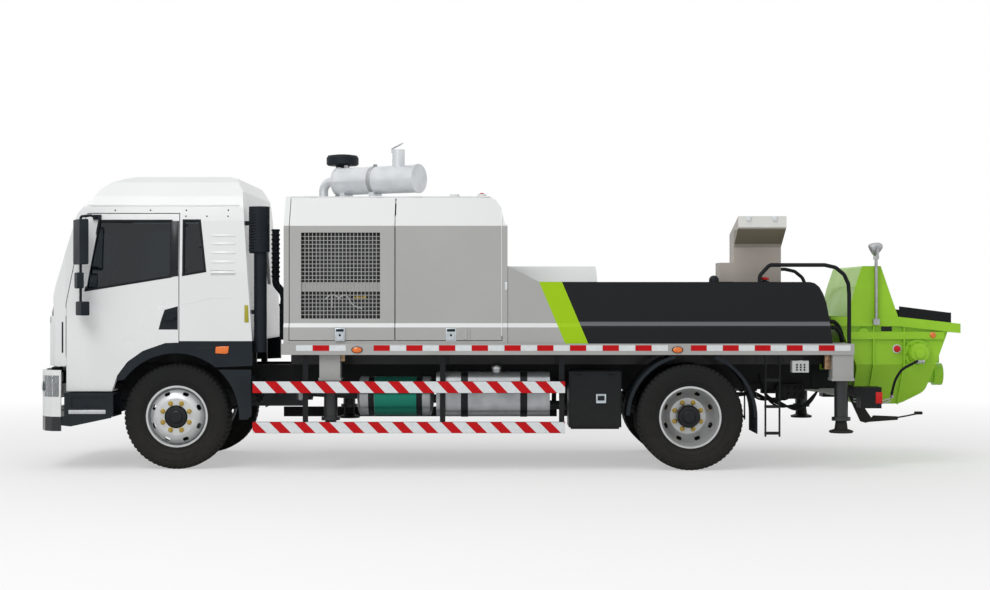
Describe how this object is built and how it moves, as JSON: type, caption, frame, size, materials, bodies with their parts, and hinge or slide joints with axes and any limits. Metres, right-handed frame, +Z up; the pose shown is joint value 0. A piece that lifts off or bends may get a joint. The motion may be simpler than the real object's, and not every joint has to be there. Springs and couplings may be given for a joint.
{
  "type": "truck-mounted concrete line pump",
  "caption": "Two-axle forward-control truck with a diesel power pack, twin-cylinder concrete pump, rear hopper with agitator and swing tube, and outrigger legs.",
  "frame": {"origin": "ground level under the middle of the overall length and width", "axes": "+X towards the rear hopper, +Y to the truck's right side, +Z up"},
  "size_m": [9.032, 2.8844, 3.2013],
  "materials": {
    "chassis_paint": "satin black chassis paint",
    "cab_paint": "gloss white paint",
    "body_paint": "grey and white gloss paint",
    "hopper_paint": "green gloss paint",
    "black_plastic": "grained black plastic",
    "tyre_rubber": "matte tyre rubber",
    "wheel_steel": "silver wheel paint",
    "window_glass": "tinted window glass",
    "lamp_glass": "clear lamp lens",
    "seat_fabric": "woven seat cloth",
    "plain_steel": "bare and greased steel",
    "exhaust_steel": "aluminised exhaust steel",
    "flap_rubber": "sheet rubber",
    "cabinet_paint": "beige-grey paint",
    "engine_paint": "painted cast iron"
  },
  "bodies": {
    "chassis": {"frame_rails": "chassis_paint", "axles": "chassis_paint", "leaf_springs": "chassis_paint", "drivetrain": "engine_paint", "deck": "body_paint", "outrigger_sleeves": "body_paint", "tanks": "hopper_paint", "lockers": "body_paint", "guards": "body_paint", "fenders": "black_plastic", "ladders_and_rails": "plain_steel", "hood_frame": "body_paint", "power_pack": "engine_paint", "muffler": "exhaust_steel", "intake_cap": "black_plastic", "bay_covers": "body_paint", "control_cabinet": "cabinet_paint", "hopper": "hopper_paint", "outlet": "hopper_paint", "splash_guard": "hopper_paint", "rubber_lips": "flap_rubber", "pumping_unit": "body_paint", "work_lamp": "plain_steel", "bumper": "cab_paint", "headlamps": "lamp_glass"},
    "cab": {"cab_shell": "cab_paint", "cab_glass": "window_glass", "cab_interior": "seat_fabric", "cab_trims": "black_plastic"},
    "panel_lid": {"cabinet_lid": "cabinet_paint"},
    "grate": {"hopper_grate": "hopper_paint"},
    "agitator_shaft": {"agitator": "plain_steel"},
    "transfer_tube": {"s_tube": "plain_steel"},
    "door_left": {"door_left": "cab_paint", "door_glass_left": "window_glass", "door_fittings_left": "black_plastic"},
    "steer_left": {"knuckle_left": "chassis_paint"},
    "front_wheel_left": {"tyre_front_left": "tyre_rubber", "wheel_front_left": "wheel_steel"},
    "rear_wheels_left": {"tyres_rear_left": "tyre_rubber", "wheels_rear_left": "wheel_steel"},
    "hood_lid_front_left": {"hood_door_front_left": "body_paint"},
    "hood_lid_rear_left": {"hood_door_rear_left": "body_paint"},
    "leg_front_left": {"jack_front_left": "plain_steel"},
    "leg_rear_left": {"jack_rear_left": "plain_steel"},
    "door_right": {"door_right": "cab_paint", "door_glass_right": "window_glass", "door_fittings_right": "black_plastic"},
    "steer_right": {"knuckle_right": "chassis_paint"},
    "front_wheel_right": {"tyre_front_right": "tyre_rubber", "wheel_front_right": "wheel_steel"},
    "rear_wheels_right": {"tyres_rear_right": "tyre_rubber", "wheels_rear_right": "wheel_steel"},
    "hood_lid_front_right": {"hood_door_front_right": "body_paint"},
    "hood_lid_rear_right": {"hood_door_rear_right": "body_paint"},
    "leg_front_right": {"jack_front_right": "plain_steel"},
    "leg_rear_right": {"jack_rear_right": "plain_steel"}
  },
  "joints": [
    {"name": "cab_tilt", "type": "hinge", "parent": "chassis", "child": "cab", "pos_m": [-4.454, 0, 0.95], "axis": [0, -1, 0], "range_deg": [0, 45]},
    {"name": "panel_lid_hinge", "type": "hinge", "parent": "chassis", "child": "panel_lid", "pos_m": [2.493, -0.589, 2.268], "axis": [-1, 0, 0], "range_deg": [0, 80]},
    {"name": "grate_hinge", "type": "hinge", "parent": "chassis", "child": "grate", "pos_m": [3.416, 0, 1.345], "axis": [0, -1, 0], "range_deg": [0, 55]},
    {"name": "agitator_spin", "type": "hinge", "parent": "chassis", "child": "agitator_shaft", "pos_m": [4.096, 0, 1.112], "axis": [0, 1, 0], "continuous": true},
    {"name": "transfer_tube_swing", "type": "hinge", "parent": "chassis", "child": "transfer_tube", "pos_m": [3.516, 0, 0.875], "axis": [1, 0, 0], "range_deg": [0, 90]},
    {"name": "door_left_hinge", "type": "hinge", "parent": "cab", "child": "door_left", "pos_m": [-4.2, -1.138, 1.4], "axis": [0, 0, 1], "range_deg": [-65, 0]},
    {"name": "steer_left_pivot", "type": "hinge", "parent": "chassis", "child": "steer_left", "pos_m": [-3.144, -0.868, 0.509], "axis": [0, 0, 1], "range_deg": [-38, 38]},
    {"name": "front_wheel_left_spin", "type": "hinge", "parent": "steer_left", "child": "front_wheel_left", "pos_m": [-3.144, -0.97, 0.509], "axis": [0, 1, 0], "continuous": true},
    {"name": "rear_wheels_left_spin", "type": "hinge", "parent": "chassis", "child": "rear_wheels_left", "pos_m": [1.806, -0.96, 0.509], "axis": [0, 1, 0], "continuous": true},
    {"name": "hood_front_left_hinge", "type": "hinge", "parent": "chassis", "child": "hood_lid_front_left", "pos_m": [-1.544, -1.0385, 2.636], "axis": [-1, 0, 0], "range_deg": [0, 70]},
    {"name": "hood_rear_left_hinge", "type": "hinge", "parent": "chassis", "child": "hood_lid_rear_left", "pos_m": [-0.524, -1.0385, 2.636], "axis": [-1, 0, 0], "range_deg": [0, 70]},
    {"name": "leg_front_left_slide", "type": "slide", "parent": "chassis", "child": "leg_front_left", "axis": [0, 0, -1], "range_m": [0, 0.35]},
    {"name": "leg_rear_left_slide", "type": "slide", "parent": "chassis", "child": "leg_rear_left", "axis": [0, 0, -1], "range_m": [0, 0.35]},
    {"name": "door_right_hinge", "type": "hinge", "parent": "cab", "child": "door_right", "pos_m": [-4.2, 1.138, 1.4], "axis": [0, 0, -1], "range_deg": [-65, 0]},
    {"name": "steer_right_pivot", "type": "hinge", "parent": "chassis", "child": "steer_right", "pos_m": [-3.144, 0.868, 0.509], "axis": [0, 0, 1], "range_deg": [-38, 38]},
    {"name": "front_wheel_right_spin", "type": "hinge", "parent": "steer_right", "child": "front_wheel_right", "pos_m": [-3.144, 0.97, 0.509], "axis": [0, 1, 0], "continuous": true},
    {"name": "rear_wheels_right_spin", "type": "hinge", "parent": "chassis", "child": "rear_wheels_right", "pos_m": [1.806, 0.96, 0.509], "axis": [0, 1, 0], "continuous": true},
    {"name": "hood_front_right_hinge", "type": "hinge", "parent": "chassis", "child": "hood_lid_front_right", "pos_m": [-1.544, 1.0385, 2.636], "axis": [1, 0, 0], "range_deg": [0, 70]},
    {"name": "hood_rear_right_hinge", "type": "hinge", "parent": "chassis", "child": "hood_lid_rear_right", "pos_m": [-0.524, 1.0385, 2.636], "axis": [1, 0, 0], "range_deg": [0, 70]},
    {"name": "leg_front_right_slide", "type": "slide", "parent": "chassis", "child": "leg_front_right", "axis": [0, 0, -1], "range_m": [0, 0.35]},
    {"name": "leg_rear_right_slide", "type": "slide", "parent": "chassis", "child": "leg_rear_right", "axis": [0, 0, -1], "range_m": [0, 0.35]}
  ],
  "couplings": [
    {"joint": "steer_right_pivot", "follows": "steer_left_pivot", "ratio": 1}
  ]
}
